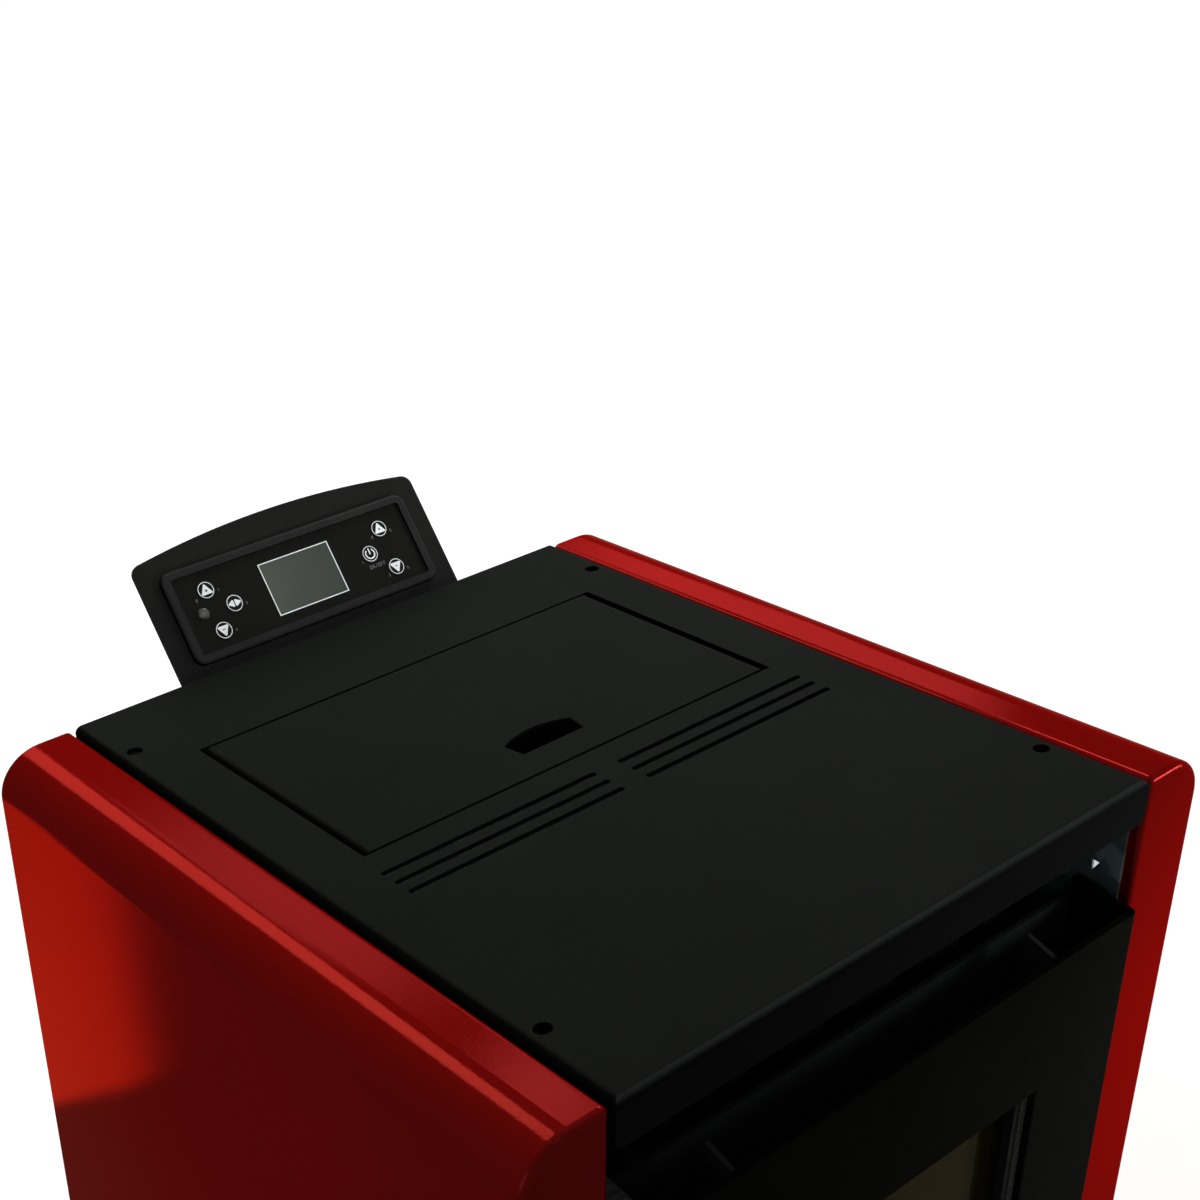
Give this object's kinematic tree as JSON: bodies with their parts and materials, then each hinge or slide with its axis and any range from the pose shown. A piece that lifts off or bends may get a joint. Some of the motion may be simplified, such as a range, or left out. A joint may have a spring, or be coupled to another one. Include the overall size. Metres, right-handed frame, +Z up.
{
  "type": "pellet stove",
  "caption": "Upright pellet stove with rounded side panels, a sloping top with a hopper lid, a glazed fire door, an ash drawer and a leaning control console.",
  "frame": {"origin": "on the floor, at the middle of the whole stove's width and depth", "axes": "+X to the right of a viewer who faces the door, -Y out of the door towards the viewer, +Z up"},
  "size_m": [0.514, 0.66, 0.9295],
  "materials": {
    "red_paint": "smooth semi-gloss dark red paint",
    "black_paint": "fine-textured matt black paint",
    "door_paint": "fine-textured dark grey paint",
    "galvanised": "bare galvanised sheet",
    "steel": "plain steel",
    "heat_paint": "matt heat-proof black paint",
    "iron": "rough cast iron",
    "glass": "clear heat-proof glass with a warm tint",
    "rope": "braided mineral fibre",
    "grip": "heat-proof black plastic",
    "bezel": "satin black plastic",
    "membrane": "satin printed film",
    "key": "satin film over a dome",
    "display": "clear window over a dark display",
    "led": "translucent grey plastic",
    "case": "grained black plastic",
    "motor": "cast aluminium",
    "foot": "black rubber over steel",
    "ceramic": "fired ceramic"
  },
  "bodies": {
    "stove": {"left_side_panel": "red_paint", "right_side_panel": "red_paint", "top_plate": "black_paint", "top_plate_screws": "steel", "lid_pivot_pins": "steel", "base_plate": "galvanised", "levelling_feet": "foot", "left_chassis_wall": "galvanised", "right_chassis_wall": "galvanised", "front_frame": "heat_paint", "latch_keeper": "steel", "lower_front_panel": "door_paint", "rear_panel": "galvanised", "firebox_shell": "heat_paint", "fireback_plate": "iron", "firebox_liners": "iron", "heat_exchanger": "heat_paint", "igniter": "ceramic", "door_hinge_brackets": "steel", "pellet_hopper": "galvanised", "feed_chute": "steel", "auger_tube": "steel", "auger_gearmotor": "motor", "exhaust_blower_housing": "galvanised", "convection_blower_housing": "galvanised", "blower_motors": "motor", "flue_outlet": "heat_paint", "air_intake_pipe": "galvanised", "power_inlet": "case", "switch_frame": "case", "console_bracket": "black_paint", "console_bezel": "bezel", "console_membrane": "membrane", "display_window": "display", "status_led": "led", "control_box": "case"},
    "lid": {"hopper_lid": "black_paint"},
    "door": {"door_cover": "door_paint", "door_inner_frame": "heat_paint", "door_ribs": "door_paint", "window_seal": "rope", "window_retainers": "steel", "window_spacer": "heat_paint", "window_glass": "glass", "door_gasket": "rope"},
    "handle": {"door_handle": "grip", "latch_tongue": "steel"},
    "drawer": {"ash_drawer": "door_paint", "ash_drawer_grip": "steel"},
    "pot": {"burn_pot": "iron"},
    "auger": {"auger_screw": "steel"},
    "exhaust_wheel": {"exhaust_impeller": "steel"},
    "convection_wheel": {"convection_impeller": "motor"},
    "rocker": {"rocker_switch": "case"},
    "left_up_key": {"left_up_key": "key"},
    "left_set_key": {"left_set_key": "key"},
    "left_down_key": {"left_down_key": "key"},
    "right_up_key": {"right_up_key": "key"},
    "power_key": {"power_key": "key"},
    "right_down_key": {"right_down_key": "key"}
  },
  "joints": [
    {"name": "lid_hinge", "type": "hinge", "parent": "stove", "child": "lid", "pos_m": [0, 0.14494, 0.86289], "axis": [-1, 0, 0], "range_deg": [0, 80]},
    {"name": "door_hinge", "type": "hinge", "parent": "stove", "child": "door", "pos_m": [-0.1895, -0.292, 0.56], "axis": [0, 0, -1], "range_deg": [0, 105]},
    {"name": "handle_turn", "type": "hinge", "parent": "door", "child": "handle", "pos_m": [0.165, -0.31, 0.56], "axis": [0, 1, 0], "range_deg": [0, 90]},
    {"name": "drawer_slide", "type": "slide", "parent": "stove", "child": "drawer", "axis": [0, -1, 0], "range_m": [0, 0.18]},
    {"name": "pot_lift", "type": "slide", "parent": "stove", "child": "pot", "axis": [0, 0, 1], "range_m": [0, 0.1]},
    {"name": "auger_spin", "type": "hinge", "parent": "stove", "child": "auger", "pos_m": [0, 0.1799, 0.345], "axis": [0, -0.7071, 0.7071], "continuous": true},
    {"name": "exhaust_spin", "type": "hinge", "parent": "stove", "child": "exhaust_wheel", "pos_m": [-0.137, 0.135, 0.16], "axis": [1, 0, 0], "continuous": true},
    {"name": "convection_spin", "type": "hinge", "parent": "stove", "child": "convection_wheel", "pos_m": [0.07, 0.135, 0.165], "axis": [1, 0, 0], "continuous": true},
    {"name": "rocker_tilt", "type": "hinge", "parent": "stove", "child": "rocker", "pos_m": [0.172, 0.247, 0.135], "axis": [-1, 0, 0], "range_deg": [0, 12]},
    {"name": "left_up_press", "type": "slide", "parent": "stove", "child": "left_up_key", "axis": [0, 0.7314, -0.682], "range_m": [0, 0.0006], "stiffness_N_per_m": 400, "springref_m": -0.0006},
    {"name": "left_set_press", "type": "slide", "parent": "stove", "child": "left_set_key", "axis": [0, 0.7314, -0.682], "range_m": [0, 0.0006], "stiffness_N_per_m": 400, "springref_m": -0.0006},
    {"name": "left_down_press", "type": "slide", "parent": "stove", "child": "left_down_key", "axis": [0, 0.7314, -0.682], "range_m": [0, 0.0006], "stiffness_N_per_m": 400, "springref_m": -0.0006},
    {"name": "right_up_press", "type": "slide", "parent": "stove", "child": "right_up_key", "axis": [0, 0.7314, -0.682], "range_m": [0, 0.0006], "stiffness_N_per_m": 400, "springref_m": -0.0006},
    {"name": "power_press", "type": "slide", "parent": "stove", "child": "power_key", "axis": [0, 0.7314, -0.682], "range_m": [0, 0.0006], "stiffness_N_per_m": 400, "springref_m": -0.0006},
    {"name": "right_down_press", "type": "slide", "parent": "stove", "child": "right_down_key", "axis": [0, 0.7314, -0.682], "range_m": [0, 0.0006], "stiffness_N_per_m": 400, "springref_m": -0.0006}
  ]
}
